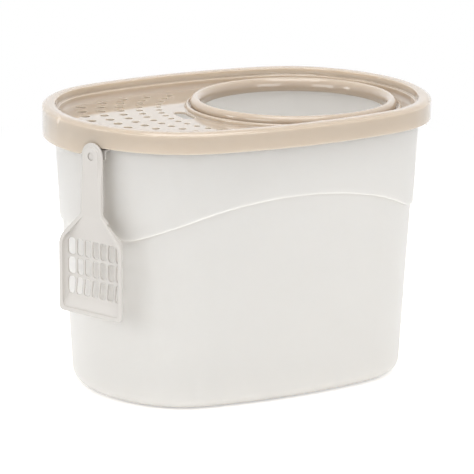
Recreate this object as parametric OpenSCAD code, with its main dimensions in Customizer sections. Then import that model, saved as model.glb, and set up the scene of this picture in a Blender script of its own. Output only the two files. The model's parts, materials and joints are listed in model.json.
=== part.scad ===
// Top entry litter box: a tub with a lift-off lid, a scoop on a hook and four rubber feet.
// Millimetres, +Z up. The feet stand on z = 0, and the origin is below the middle of the whole box,
// its hanging scoop included. The long axis is X with the round entry at +X, and the scoop hangs on
// the front (-Y) side of the -X end.

/* [Outline of the lid] */
// Length of the lid, end to end
lid_length = 520; // [500:5:560]
// Width of the lid, front to back
lid_width = 386; // [370:2:400]
// Radius of the two rounded ends
end_radius = 210; // [205:1:212]
// Radius of the four quick bends between an end and a side
bend_radius = 146; // [135:1:155]
// Radius of the two long bowed sides
side_radius = 672; // [640:4:720]
// Height of the whole box, to the crest of the lid's rim
box_height = 370; // [340:5:400]

/* [Tub] */
// Wall thickness of the tub
tub_wall = 2.5; // [2:0.1:3]
// Thickness of the tub's floor
tub_floor = 3; // [2.5:0.1:4]
// How far the tub's rim lies inside the lid's outline
rim_inset = 16; // [15:0.5:17]
// Draft of the proud upper wall, in degrees
band_draft = 2.8; // [2:0.1:3]
// Draft of the lower wall, in degrees
wall_draft = 3.3; // [2.5:0.1:3.5]
// How far the upper wall stands proud of the lower one
band_step = 3.3; // [2:0.1:4]
// Radius of the bend between wall and floor
floor_bend = 16; // [12:1:20]
// Height of the wave line at its peak
wave_peak = 273; // [260:1:280]
// Height of the wave line at the two ends
wave_end = 222; // [215:1:230]
// Radius of the wave line's long hump
wave_radius = 465; // [450:5:500]
// Place of the wave's peak along the length
wave_x = -8; // [-20:1:20]
// Radius that turns the hump level at each end
wave_fillet = 60; // [40:5:80]
// Width of the carry lip at each end
lip_width = 90; // [70:5:100]
// How far the carry lip's edge lies inside the lid's outline
lip_inset = 4.5; // [4:0.5:6]
// Thickness of the carry lip
lip_thick = 2.5; // [2:0.1:3]
// Height of the carry lip's turned-down edge
lip_drop = 6; // [5:0.5:8]
// Distance of the carry lip's top below the lid's deck
lip_below = 6; // [6:0.5:8]

/* [Lid] */
// Wall thickness of the lid's skirt and rim
lid_wall = 2.5; // [2:0.1:3]
// Thickness of the sunken deck
deck_thick = 2.8; // [2.4:0.1:3.2]
// Depth of the deck's top below the rim's crest
deck_depth = 20.7; // [19:0.1:22]
// Width of the flat rim
rim_width = 17; // [17:0.5:18]
// Radius of the bend from the rim down to the deck
deck_bend = 13; // [8:0.5:14]
// Height of the skirt, from the rim's crest to its lower edge
skirt_height = 27.3; // [26:0.1:28]
// How much deeper the grip at the -X end hangs
grip_drop = 12.7; // [10:0.1:14]
// How far the grip's lower edge reaches to the front of the lid's middle line
grip_front = 46; // [40:1:47]
// How far the grip's lower edge reaches to the back of the lid's middle line
grip_back = 84; // [60:1:95]
// Rounding of the rim's outer top edge
rim_round = 2.5; // [2:0.1:3]
// Depth of the thumb notch at each end
notch_depth = 5; // [4:0.1:6]
// Half of the thumb notch's width at its top
notch_half = 11.5; // [10:0.5:13]
// How far the thumb notch runs down the skirt
notch_run = 17; // [15:0.5:20]
// Height of the rib that keeps the lid centred in the tub
locate_rib = 6; // [4:0.5:8]
// Running gap between the centring rib and the tub's wall
locate_gap = 0.5; // [0.3:0.1:1]

/* [Entry and deck holes] */
// Place of the entry's centre along the length
entry_x = 84.5; // [80:0.5:90]
// Radius of the entry
entry_radius = 121; // [115:1:121]
// Radius of the rounded bead on the collar
bead_radius = 7.3; // [6:0.1:7.3]
// Height of the collar's crest above the deck
collar_height = 14.3; // [12:0.1:16]
// Width of the collar's foot outside the bead
collar_foot = 6; // [5:0.5:6.5]
// Height of the collar's foot above the deck
foot_height = 6.5; // [5:0.5:7.5]
// Radius of the innermost arc of drain holes, round the entry's centre
first_arc = 178.2; // [177:0.2:180]
// Distance between arcs of drain holes
arc_pitch = 25.3; // [24.5:0.1:25.5]
// Number of arcs of drain holes
arcs = 5; // [4:1:5]
// Number of drain holes in the innermost arc
first_count = 18; // [14:2:18]
// Angle between neighbouring drain holes, in degrees
hole_step = 6.2; // [6:0.1:6.3]
// Diameter of the drain holes in the innermost arc
first_hole = 9; // [8:0.2:10]
// Growth of the drain holes' diameter from arc to arc
hole_growth = 1.1; // [0.8:0.1:1.2]
// Radius of the litter return slot's middle line
slot_radius = 155.5; // [154.5:0.5:157]
// Width of the litter return slot
slot_width = 17; // [15:0.5:17]
// Angle from -X to the start of the slot's straight part, in degrees
slot_start = 1.6; // [1:0.1:2]
// Angle over which the slot's full width runs, in degrees
slot_sweep = 11.3; // [9:0.1:12]

/* [Scoop] */
// Direction in which the scoop faces, measured from +X in degrees
scoop_angle = 199.8; // [199:0.1:201]
// How far the scoop's back lies inside the lid's outline
scoop_inset = 4; // [3.5:0.1:4.5]
// How far the peg and the scoop's hanging hole lie below the rim's crest
peg_drop = 38.5; // [37:0.5:40]
// Half of the handle's width
handle_half = 17; // [15:0.5:18]
// Half of the blade's width over its rim
blade_half = 53; // [50:0.5:56]
// Width of the blade's turned-out rim
blade_rim = 2.8; // [2:0.1:3.5]
// Depth of the blade, from its back to its rim
blade_depth = 13; // [12.5:0.5:15]
// Radius of the round between the blade's floor and its sides
blade_round = 12; // [9:0.5:12]
// Wall thickness of the scoop
scoop_wall = 2.5; // [2:0.1:3]
// Distance from the hanging hole down to the blade's lip
scoop_reach = 205.5; // [200:0.5:215]
// Distance from the hanging hole down to the handle's end
handle_reach = 69.5; // [66:0.5:72]
// Radius of the blade's upper corners
shoulder_radius = 25; // [20:1:28]
// Radius of the bend between handle and shoulder
neck_radius = 10; // [8:1:14]
// Distance from the hanging hole down to the top of the slots
slots_top = 111.5; // [110:0.5:113]
// Number of slots side by side
slot_columns = 7; // [5:1:7]
// Number of rows of slots
slot_rows = 3; // [2:1:3]
// Distance between neighbouring slots, side by side
column_pitch = 13.3; // [12:0.1:13.4]
// Distance between rows of slots
row_pitch = 25; // [24:0.2:25.2]
// Width of a slot
slit_width = 10; // [8:0.2:10.4]
// Height of a slot
slit_height = 21.6; // [18:0.2:22]
// Radius of the forward sweep of the blade's lower end
lip_sweep = 120; // [110:1:140]
// Height of the raised pad round the hanging hole
pad_raise = 2.6; // [2:0.1:3]
// Half of the raised pad's width
pad_half = 12; // [10:0.5:13]
// Distance from the scoop's back to the handle's pad front
handle_front = 10.6; // [10:0.1:11]
// Distance from the scoop's back plane to the back of the handle
handle_back = 5; // [4.8:0.1:5.5]

/* [Hook] */
// Radius of the hanging hole in the handle
hole_radius = 5; // [4:0.1:5.5]
// Running gap between the peg and the hanging hole
peg_gap = 0.05; // [0.02:0.01:0.1]
// Width of the hook
hook_width = 29; // [26:1:34]
// Thickness of the hook's walls
hook_wall = 2.4; // [2:0.1:2.6]
// How far the hook's plate lies inside the lid's outline
plate_inset = 5; // [4.5:0.1:5.5]
// Distance from the peg's middle down to the plate's lower edge
plate_below = 4.2; // [4:0.1:8]
// How far the peg's end lies behind the front of the handle's pad
peg_recess = 1.6; // [1:0.1:2.5]
// Gap between the hook and what it grips
grip_gap = 0.3; // [0.2:0.05:0.5]

/* [Feet] */
// Radius of a rubber foot
foot_radius = 12; // [8:0.5:16]
// How far the feet stand out below the tub
foot_stand = 2; // [1.5:0.5:4]
// Depth of the pocket that each foot is glued into
foot_pocket = 1; // [0.5:0.1:1.5]
// Half of the distance between the feet, along the length
foot_x = 150; // [120:5:160]
// Half of the distance between the feet, front to back
foot_y = 85; // [70:5:95]

/* [Hidden] */
$fn = 96;
over = 1;
far = 600;
tub_colour = "#e7e4df";
lid_colour = "#cdbfae";
foot_colour = "#8a8783";

// Centres of the outline's arcs, and the angles at which one arc meets the next
end_x = lid_length / 2 - end_radius;
side_y = lid_width / 2 - side_radius;
centre_gap = sqrt(end_x * end_x + side_y * side_y);
to_end = [end_x / centre_gap, -side_y / centre_gap];
side_link = side_radius - bend_radius;
end_link = end_radius - bend_radius;
along = (centre_gap * centre_gap + side_link * side_link - end_link * end_link) / (2 * centre_gap);
aside = sqrt(max(side_link * side_link - along * along, 0));
bend_x = to_end[0] * along + to_end[1] * aside;
bend_y = side_y + to_end[1] * along - to_end[0] * aside;
end_angle = atan2(bend_y, bend_x - end_x);
side_angle = atan2(bend_y - side_y, bend_x);

// Each arc of the outline: centre, radius, start angle and sweep. The bends run on into their
// neighbours by the lap, and a hair inside them, so that all eight join without a gap
bend_lap = 1.5;
bend_seam = 0.02;
bend_reach = bend_radius - bend_seam;
bend_sweep = side_angle - end_angle + 2 * bend_lap;
OUTLINE = [
    [[end_x, 0], end_radius, -end_angle, 2 * end_angle],
    [[bend_x, bend_y], bend_reach, end_angle - bend_lap, bend_sweep],
    [[0, side_y], side_radius, side_angle, 180 - 2 * side_angle],
    [[-bend_x, bend_y], bend_reach, 180 - side_angle - bend_lap, bend_sweep],
    [[-end_x, 0], end_radius, 180 - end_angle, 2 * end_angle],
    [[-bend_x, -bend_y], bend_reach, 180 + end_angle - bend_lap, bend_sweep],
    [[0, -side_y], side_radius, 180 + side_angle, 180 - 2 * side_angle],
    [[bend_x, -bend_y], bend_reach, 360 - side_angle - bend_lap, bend_sweep]
];
core_inset = 70;
core_overlap = 14;
bend_steps = 6;
rim_dip = 0.2;

// Heights of the lid
deck_top = box_height - deck_depth;
deck_under = deck_top - deck_thick;
skirt_low = box_height - skirt_height;
grip_low = skirt_low - grip_drop;
rim_edge = box_height - rim_round;
seat_outer = rim_inset - 0.5;

// Heights and offsets of the tub: the wall lines as offsets inside the lid's outline
tub_low = foot_stand;
tub_high = deck_under;
function band_line(z) = -rim_inset - (tub_high - z) * tan(band_draft);
function wall_line(z) = band_line(wave_end) - band_step - (wave_end - z) * tan(wall_draft);

// The wave line: a long hump whose foot at each end turns level through a fillet
wave_centre = wave_peak - wave_radius;
wave_reach = sqrt(pow(wave_radius + wave_fillet, 2) - pow(wave_end + wave_fillet - wave_centre, 2));
wave_touch = wave_reach * wave_radius / (wave_radius + wave_fillet);
wave_steps = 60;
function wave_height(x) =
    abs(x) > wave_touch
        ? wave_end + wave_fillet - sqrt(pow(wave_fillet, 2) - pow(wave_reach - abs(x), 2))
        : wave_centre + sqrt(pow(wave_radius, 2) - x * x);

// The scoop and its hook hang on the arc of the outline that faces their way
hook_arc = OUTLINE[scoop_angle < 180 + end_angle ? 4 : 5];
hook_centre = hook_arc[0];
hook_radius = hook_arc[1];
scoop_radius = hook_radius - scoop_inset;
peg_height = box_height - peg_drop;
sweep_top = scoop_reach - sqrt(pow(lip_sweep, 2) - pow(lip_sweep - blade_depth + scoop_wall, 2));

// Every piece is drawn about the lid's middle, then moved along X so that the origin comes below the
// middle of the whole box
scoop_end = hook_centre[0]
    + (scoop_radius + blade_depth) * cos(scoop_angle) + blade_half * sin(scoop_angle);
frame_shift = -(scoop_end + lid_length / 2) / 2;

module placed() {
    translate([frame_shift, 0, 0])
        children();
}

// Round the outline, sweeps a section drawn as (offset from the outline, height)
module around() {
    for (arc = OUTLINE)
        translate([arc[0][0], arc[0][1], 0])
            rotate_extrude(angle = arc[3], start = arc[2], $fn = 240)
                translate([arc[1], 0])
                    children();
}

// The outline itself at an inset, as a polygon inside the swept sections
function core_points(inset) = [
    for (arc = OUTLINE)
        for (part = [0 : 3])
            let (turn = arc[2] + arc[3] * part / 4)
                [arc[0][0] + (arc[1] - inset) * cos(turn), arc[0][1] + (arc[1] - inset) * sin(turn)]
];

// A solid whose wall follows the outline: the section drawn by the children is swept round it,
// and a core fills the middle from low to high
module filled(low, high) {
    around()
        children();
    translate([0, 0, low])
        linear_extrude(high - low)
            polygon(core_points(core_inset - core_overlap));
}

// Points of the bend between a floor at low and a wall that leaves it at a and leans out by lean
function bend(a, low, radius, lean) =
    let (middle = a + radius * tan(lean) - radius / cos(lean))
        [for (i = [0 : bend_steps])
            let (turn = -90 + (90 - lean) * i / bend_steps)
                [middle + radius * cos(turn), low + radius + radius * sin(turn)]];

// Section of a drafted wall: all that lies inside the line from (a, low) to (b, high)
module inside_line(low, a, high, b) {
    polygon([[-core_inset, low], [a, low], [b, high], [-core_inset, high]]);
}

// The same with a round bend at the foot of the wall
module inside_bend(low, a, high, b, radius) {
    lean = atan2(b - a, high - low);
    polygon(concat([[-core_inset, low]], bend(a, low, radius, lean), [[b, high], [-core_inset, high]]));
}

// Everything above the wave line, raised by lift, as a block through the tub's width
module above_wave(lift) {
    line = [
        for (i = [0 : wave_steps])
            let (x = wave_reach * (2 * i / wave_steps - 1))
                [wave_x + x, wave_height(x)]
    ];
    translate([0, far / 2, lift])
        rotate([90, 0, 0])
            linear_extrude(far)
                polygon(concat(
                    [[-far / 2, far], [-far / 2, wave_end]], line, [[far / 2, wave_end], [far / 2, far]]
                ));
}

// Form of the tub between low and high, drawn in by inset: the lower part up to just above the
// wave line, and the proud upper part from the wave line up
module tub_form(low, high, inset) {
    overlap = wave_peak + 6 + inset;
    filled(low, overlap)
        inside_bend(low, wall_line(low) - inset, overlap, wall_line(overlap) - inset, floor_bend - inset);
    intersection() {
        filled(wave_end - over, high)
            inside_line(
                wave_end - over, band_line(wave_end - over) - inset, high, band_line(high) - inset
            );
        above_wave(inset);
    }
}

// Carry lip at one end: a shelf under the lid's skirt with a turned-down edge
module carry_lip(side) {
    top = tub_high - lip_below;
    intersection() {
        around() {
            translate([-rim_inset - tub_wall, top - lip_thick])
                square([rim_inset + tub_wall - lip_inset, lip_thick]);
            translate([-lip_inset - lip_thick, top - lip_drop])
                square([lip_thick, lip_drop]);
        }
        translate([side > 0 ? 0 : -far, -lip_width / 2, 0])
            cube([far, lip_width, far]);
    }
}

module tub() {
    color(tub_colour)
        placed()
            difference() {
                union() {
                    tub_form(tub_low, tub_high, 0);
                    for (side = [-1, 1])
                        carry_lip(side);
                }
                tub_form(tub_low + tub_floor, tub_high + over, tub_wall);
                foot_pockets();
                hook_ring(hook_width + 2 * grip_gap)
                    translate([-core_inset, tub_high - hook_wall - grip_gap])
                        square([core_inset, core_inset]);
            }
}

module foot_pockets() {
    for (x = [-foot_x, foot_x])
        for (y = [-foot_y, foot_y])
            translate([x, y, tub_low - over])
                cylinder(r = foot_radius + grip_gap, h = foot_pocket + over);
}

// Section of the lid's outside: skirt, rounded top edge and gently domed rim
module rim_outside() {
    polygon(concat(
        [[-core_inset, skirt_low], [0, skirt_low]],
        [for (turn = [0 : 20 : 80])
            [rim_round * (cos(turn) - 1), rim_edge + rim_round * (sin(turn) - 1)]],
        [
            [-5, box_height - 0.6], [-8, box_height], [-11, box_height - rim_dip],
            [-core_inset, box_height - rim_dip]
        ]
    ));
}

// Section of the tray above the deck, with the round bend at the foot of the rim's inner wall
module tray_section() {
    foot = -rim_width - 2.5;
    lip = box_height - 3;
    lean = atan2(-rim_width - 0.6 - foot, lip - deck_top);
    polygon(concat(
        [[-core_inset, deck_top]],
        bend(foot, deck_top, deck_bend, lean),
        [
            [-rim_width - 0.6, lip], [-rim_width, box_height - 1.2],
            [-rim_width + 2.5, box_height + over], [-core_inset, box_height + over]
        ]
    ));
}

// Deeper part of the skirt at the -X end, where a hand lifts the lid
module grip_skirt() {
    slope = 6;
    intersection() {
        around()
            translate([-lid_wall, grip_low])
                square([lid_wall, grip_drop + over]);
        translate([-far, 0, 0])
            rotate([90, 0, 90])
                linear_extrude(far)
                    polygon([
                        [-grip_front - slope * 1.6, skirt_low + over], [-grip_front - slope * 1.6, skirt_low],
                        [-grip_front - slope, grip_low + slope * 0.6], [-grip_front, grip_low],
                        [grip_back, grip_low], [grip_back + slope, grip_low + slope * 0.6],
                        [grip_back + slope * 1.6, skirt_low], [grip_back + slope * 1.6, skirt_low + over]
                    ]);
    }
}

// Tapering V block for a thumb notch; deeper makes it reach further into the rim
module notch_block(deeper) {
    run = notch_run + 4 * deeper;
    depth = notch_depth * run / notch_run;
    half = notch_half * run / notch_run;
    lean = atan2(depth, run);
    for (side = [0, 180])
        rotate([0, 0, side])
            translate([lid_length / 2, 0, rim_edge - run])
                rotate([0, -lean, 0])
                    linear_extrude(run * 2)
                        polygon([[0, 0], [depth * 6, half * 6], [depth * 6, -half * 6]]);
}

// Slab that holds the notch's backing inside the rim's channel
module notch_backing() {
    intersection() {
        notch_block(lid_wall);
        around()
            translate([-seat_outer, rim_edge - notch_run - 8])
                square([seat_outer - over, notch_run + 6]);
    }
}

module collar() {
    bead_middle = entry_radius + bead_radius + 0.7;
    crest = deck_top + collar_height;
    foot_outer = bead_middle + bead_radius + collar_foot;
    translate([entry_x, 0, 0])
        rotate_extrude() {
            translate([bead_middle, crest - bead_radius])
                circle(bead_radius);
            translate([entry_radius, deck_under])
                square([bead_middle - entry_radius, crest - bead_radius - deck_under]);
            polygon([
                [entry_radius, deck_under], [foot_outer, deck_under], [foot_outer, deck_top],
                [foot_outer - 0.5, deck_top + foot_height - 2.5], [foot_outer - 2.2, deck_top + foot_height - 0.4],
                [bead_middle + bead_radius, deck_top + foot_height], [entry_radius, deck_top + foot_height]
            ]);
        }
}

// Drain holes on arcs round the entry's centre, in a fan towards -X
module drain_holes() {
    for (row = [0 : arcs - 1]) {
        count = first_count - 2 * row;
        for (i = [0 : count - 1])
            translate([entry_x, 0, deck_under - over])
                rotate([0, 0, 180 + hole_step * (i - (count - 1) / 2)])
                    translate([first_arc + row * arc_pitch, 0, 0])
                        cylinder(d = first_hole + row * hole_growth, h = deck_thick + 2 * over);
    }
}

// Curved slot with round ends beside the collar
module return_slot() {
    translate([entry_x, 0, deck_under - over])
        rotate([0, 0, 180 - slot_start - slot_sweep]) {
            rotate_extrude(angle = slot_sweep)
                translate([slot_radius - slot_width / 2, 0])
                    square([slot_width, deck_thick + 2 * over]);
            for (turn = [0, slot_sweep])
                rotate([0, 0, turn])
                    translate([slot_radius, 0, 0])
                        cylinder(d = slot_width - 2 * bend_seam, h = deck_thick + 2 * over);
        }
}

// Rib under the deck, just inside the tub's wall, cut away where the hook grips
module centring_rib() {
    rib_outer = -band_line(tub_high - locate_rib) + tub_wall + locate_gap;
    difference() {
        around()
            translate([-rib_outer - lid_wall, deck_under - locate_rib])
                square([lid_wall, locate_rib + over]);
        hook_ring(hook_width + 8)
            translate([-core_inset, 0])
                square([core_inset, far]);
    }
}

module lid() {
    color(lid_colour)
        placed()
            difference() {
                union() {
                    difference() {
                        filled(skirt_low, box_height - rim_dip)
                            rim_outside();
                        filled(skirt_low - over, deck_under)
                            inside_line(skirt_low - over, -lid_wall, deck_under, -lid_wall);
                        around()
                            translate([-seat_outer, deck_under - over])
                                square([seat_outer - lid_wall, rim_edge - lid_wall - deck_under + over]);
                        filled(deck_top, box_height + over)
                            tray_section();
                    }
                    grip_skirt();
                    notch_backing();
                    collar();
                    centring_rib();
                }
                notch_block(0);
                translate([entry_x, 0, deck_under - locate_rib - over])
                    cylinder(r = entry_radius, h = far / 4);
                drain_holes();
                return_slot();
            }
}

// Puts the children in the frame of the peg: origin on the peg's line at the scoop's back, x across the
// scoop and -y away from the tub
module at_peg() {
    translate(hook_centre)
        rotate([0, 0, scoop_angle])
            translate([scoop_radius, 0, peg_height])
                rotate([0, 0, 90])
                    children();
}

// Sweeps a section (offset from the outline, height) along the outline behind the scoop
module hook_ring(width) {
    half_turn = asin(width / 2 / hook_radius);
    translate(hook_centre)
        rotate_extrude(angle = 2 * half_turn, start = scoop_angle - half_turn)
            translate([hook_radius, 0])
                children();
}

// Front outline of the scoop (across, height from the hanging hole), drawn in by inset
module scoop_front(inset) {
    half = blade_half - inset;
    corner = shoulder_radius - inset;
    neck = neck_radius + inset;
    shoulder_x = blade_half - shoulder_radius;
    handle = handle_half - inset;
    neck_x = handle_half + neck_radius;
    drop = shoulder_x + shoulder_radius * sqrt(2) - neck_x + neck_radius * sqrt(2);
    shoulder_z = -handle_reach - drop;
    foot = 6;
    right = concat(
        [for (a = [-90 : 15 : 0]) [half - foot + foot * cos(a), inset - scoop_reach + foot + foot * sin(a)]],
        [for (a = [0 : 7.5 : 45]) [shoulder_x + corner * cos(a), shoulder_z + corner * sin(a)]],
        [for (a = [45 : -9 : 0]) [neck_x - neck * cos(a), -handle_reach - neck * sin(a)]]
    );
    polygon(concat(right, [for (i = [len(right) - 1 : -1 : 0]) [-right[i][0], right[i][1]]]));
    translate([-handle, -handle_reach])
        square([2 * handle, handle_reach]);
    circle(handle);
}

// Extrudes a drawing made in (across, height) from depth a to depth b in front of the back
module in_depth(a, b) {
    rotate([90, 0, 0])
        translate([0, 0, a])
            linear_extrude(b - a)
                children();
}

// Extrudes a drawing made in (depth, height) across the scoop
module across(width) {
    translate([-width / 2, 0, 0])
        rotate([90, 0, 90])
            linear_extrude(width)
                mirror([1, 0])
                    children();
}

// Side view of the scoop (depth, height) between its back and its front
module scoop_side(back, front) {
    slope_top = -handle_reach - 8;
    difference() {
        polygon([
            [back, -slots_top], [back + handle_back, slope_top], [back + handle_back, handle_half + over],
            [front - blade_depth + handle_front, handle_half + over],
            [front - blade_depth + handle_front, -handle_reach - 10], [front, -slots_top - 6],
            [front, -scoop_reach - over], [back, -scoop_reach - over]
        ]);
        difference() {
            translate([back - over, -scoop_reach - 2 * over])
                square([blade_depth, scoop_reach - sweep_top + 2 * over]);
            translate([back + lip_sweep, -sweep_top])
                circle(lip_sweep, $fn = 180);
        }
    }
}

// Rounded U of the blade in plan, extruded over its height, that rounds its long corners
module blade_u(inset) {
    round_off = blade_round - inset;
    half = blade_half - blade_rim - inset;
    translate([0, 0, -scoop_reach - over])
        linear_extrude(scoop_reach + handle_half + 2 * over)
            mirror([0, 1]) {
                translate([-half, inset + round_off])
                    square([2 * half, blade_depth + over]);
                translate([-half + round_off, inset])
                    square([2 * (half - round_off), round_off + over]);
                for (side = [-1, 1])
                    translate([side * (half - round_off), inset + round_off])
                        circle(round_off);
            }
}

// The shell of the blade and handle, before slots and holes
module scoop_shell() {
    difference() {
        union() {
            intersection() {
                in_depth(-over, blade_depth + over)
                    scoop_front(blade_rim);
                across(far)
                    scoop_side(0, blade_depth);
                blade_u(0);
            }
            intersection() {
                in_depth(-over, blade_depth + over)
                    scoop_front(0);
                across(far)
                    difference() {
                        scoop_side(0, blade_depth);
                        translate([blade_depth - scoop_wall - over - far, -far / 2])
                            square([far, far / 2 - handle_reach - 14]);
                    }
            }
        }
        intersection() {
            in_depth(-over, blade_depth + 2 * over)
                scoop_front(blade_rim + scoop_wall);
            across(far)
                blade_hollow_side();
            blade_u(scoop_wall);
            translate([-far / 2, -far / 2, -scoop_reach - over])
                cube([far, far, scoop_reach - handle_reach]);
        }
    }
}

// Side view of the blade's hollow: in front of the floor and of the sloping shoulder plate
module blade_hollow_side() {
    difference() {
        polygon([
            [scoop_wall, -slots_top], [handle_front, -handle_reach - 7], [blade_depth + 2 * over, -handle_reach - 7],
            [blade_depth + 2 * over, -scoop_reach - over], [scoop_wall, -scoop_reach - over]
        ]);
        difference() {
            translate([scoop_wall - over, -scoop_reach - 2 * over])
                square([blade_depth, scoop_reach - sweep_top + 2 * over]);
            translate([lip_sweep, -sweep_top])
                circle(lip_sweep - scoop_wall, $fn = 180);
        }
    }
}

// Cuts the handle's edge back so that a pad stays raised round the hanging hole
module pad_relief() {
    ramp = 42;
    difference() {
        across(far)
            polygon([
                [handle_front - pad_raise, handle_half + over], [blade_depth, handle_half + over],
                [blade_depth, -ramp], [handle_front, -ramp], [handle_front - pad_raise, -8]
            ]);
        in_depth(-over, blade_depth + over) {
            circle(pad_half);
            translate([-pad_half, -ramp])
                square([2 * pad_half, ramp]);
        }
    }
}

// Slots through the blade's floor
module slits() {
    end = slit_width * 0.4;
    for (column = [0 : slot_columns - 1])
        for (row = [0 : slot_rows - 1])
            translate([
                (column - (slot_columns - 1) / 2) * column_pitch, 0,
                -slots_top - row * row_pitch - slit_height
            ])
                in_depth(-over, blade_depth + over) {
                    translate([-slit_width / 2 + end, 0])
                        square([slit_width - 2 * end, slit_height]);
                    translate([-slit_width / 2, end])
                        square([slit_width, slit_height - 2 * end]);
                    for (x = [-slit_width / 2 + end, slit_width / 2 - end])
                        for (z = [end, slit_height - end])
                            translate([x, z])
                                circle(end);
                }
}

// Hollow in the back of the handle
module handle_pocket() {
    width = handle_half - scoop_wall;
    in_depth(0, handle_front - pad_raise - scoop_wall + 0.6)
        translate([-width + 2, -handle_reach])
            square([2 * (width - 2), handle_reach - hole_radius - 5]);
}

module scoop() {
    color(tub_colour)
        placed()
            at_peg()
                difference() {
                    intersection() {
                        scoop_shell();
                        blade_u(-blade_rim);
                    }
                    pad_relief();
                    slits();
                    handle_pocket();
                    in_depth(-over, blade_depth + over)
                        circle(hole_radius);
                }
}

module scoop_hook() {
    leg_low = tub_high - 12;
    inner = -band_line(leg_low) + tub_wall + grip_gap;
    plate_low = peg_height - plate_below;
    web_low = peg_height + hole_radius + 1;
    top = tub_high - grip_gap;
    peg_end = handle_front - peg_recess;
    color(tub_colour)
        placed() {
            hook_ring(hook_width) {
                translate([-inner - hook_wall, leg_low])
                    square([hook_wall, top - leg_low]);
                translate([-inner - hook_wall, top - hook_wall])
                    square([inner + hook_wall - rim_inset + grip_gap + hook_wall, hook_wall]);
                translate([-rim_inset + grip_gap, web_low])
                    square([hook_wall, top - web_low]);
                translate([-rim_inset + grip_gap, web_low])
                    square([rim_inset - grip_gap - plate_inset, hook_wall]);
                translate([-plate_inset - hook_wall, plate_low])
                    square([hook_wall, web_low + hook_wall - plate_low]);
            }
            at_peg() {
                in_depth(scoop_inset - plate_inset - hook_wall / 2, peg_end)
                    circle(hole_radius - peg_gap);
                in_depth(scoop_inset - plate_inset - hook_wall / 2, handle_back - grip_gap)
                    intersection() {
                        circle(hole_radius + 2);
                        translate([-far / 2, 0.3 - plate_below])
                            square([far, far]);
                    }
            }
        }
}

// One rubber foot, glued into its pocket under the tub
module rubber_foot(x, y) {
    color(foot_colour)
        placed()
            translate([x, y, 0])
                cylinder(r = foot_radius, h = tub_low + foot_pocket);
}

tub();
lid();
scoop();
scoop_hook();
rubber_foot(-foot_x, -foot_y);  // rubber_foot_front_left
rubber_foot(foot_x, -foot_y);  // rubber_foot_front_right
rubber_foot(-foot_x, foot_y);  // rubber_foot_rear_left
rubber_foot(foot_x, foot_y);  // rubber_foot_rear_right
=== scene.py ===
"""A top entry litter box in two plastics: its tub, lid, scoop, hook and feet, on a pale studio floor."""

import json
import math

import bmesh
import bpy
from bpy.props import FloatProperty, FloatVectorProperty, IntProperty, PointerProperty
from mathutils import Matrix, Vector

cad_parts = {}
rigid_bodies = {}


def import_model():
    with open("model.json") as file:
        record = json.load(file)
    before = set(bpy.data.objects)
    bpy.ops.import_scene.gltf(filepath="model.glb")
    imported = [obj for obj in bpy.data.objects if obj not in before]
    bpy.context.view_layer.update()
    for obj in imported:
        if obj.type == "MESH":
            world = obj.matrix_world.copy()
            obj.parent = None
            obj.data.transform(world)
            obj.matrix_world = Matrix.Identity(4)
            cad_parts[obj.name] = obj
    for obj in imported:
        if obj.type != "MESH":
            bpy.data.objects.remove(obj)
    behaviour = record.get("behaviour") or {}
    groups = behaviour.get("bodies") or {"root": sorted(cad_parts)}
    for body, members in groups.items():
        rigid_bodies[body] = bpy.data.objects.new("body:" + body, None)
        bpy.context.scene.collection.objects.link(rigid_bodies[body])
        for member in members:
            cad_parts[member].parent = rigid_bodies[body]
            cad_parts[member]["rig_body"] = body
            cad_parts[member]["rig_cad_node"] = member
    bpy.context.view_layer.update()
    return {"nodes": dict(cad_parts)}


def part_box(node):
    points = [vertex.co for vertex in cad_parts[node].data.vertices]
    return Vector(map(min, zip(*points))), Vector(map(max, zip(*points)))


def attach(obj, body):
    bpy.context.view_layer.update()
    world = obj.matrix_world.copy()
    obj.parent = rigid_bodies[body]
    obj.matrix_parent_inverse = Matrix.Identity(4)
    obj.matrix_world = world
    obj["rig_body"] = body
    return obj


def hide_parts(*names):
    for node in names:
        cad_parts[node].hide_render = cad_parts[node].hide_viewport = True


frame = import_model()

bl_info = {
    "name": "Top Entry Litter Box",
    "version": (1, 0, 0),
    "blender": (4, 5, 0),
    "location": "3D View > Sidebar > Litter Box",
    "description": "Models a litter box with a lift-off lid, and sets its light and camera",
    "category": "Object",
}

MM = 0.001
CREASE = math.radians(24)
LID_LOW, LID_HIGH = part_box("lid")
MIDDLE_X = (LID_LOW.x + LID_HIGH.x) / 2
SCOOP_FACING = math.radians(289.8)

# The tub's wall: how far its top stands inside the lid's outline, how both parts of it lean, and how
# deep the step of the wave line is, in millimetres
BAND_INSET = 16
BAND_LEAN = math.radians(2.8)
WALL_LEAN = math.radians(3.3)
STEP = 3.3


class OutlineSizes(bpy.types.PropertyGroup):
    length: FloatProperty(
        name="Length", description="Length of the lid, end to end", default=0.520, unit="LENGTH"
    )
    width: FloatProperty(
        name="Width", description="Width of the lid, front to back", default=0.386, unit="LENGTH"
    )
    end_radius: FloatProperty(
        name="End radius", description="Radius of the two rounded ends", default=0.210, unit="LENGTH"
    )
    bend_radius: FloatProperty(
        name="Bend radius",
        description="Radius of the quick bends between an end and a side",
        default=0.146,
        unit="LENGTH",
    )
    side_radius: FloatProperty(
        name="Side radius", description="Radius of the two bowed sides", default=0.672, unit="LENGTH"
    )
    spacing: FloatProperty(
        name="Spacing",
        description="Distance between neighbouring columns of faces round the outline",
        default=0.0035,
        unit="LENGTH",
    )


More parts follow.
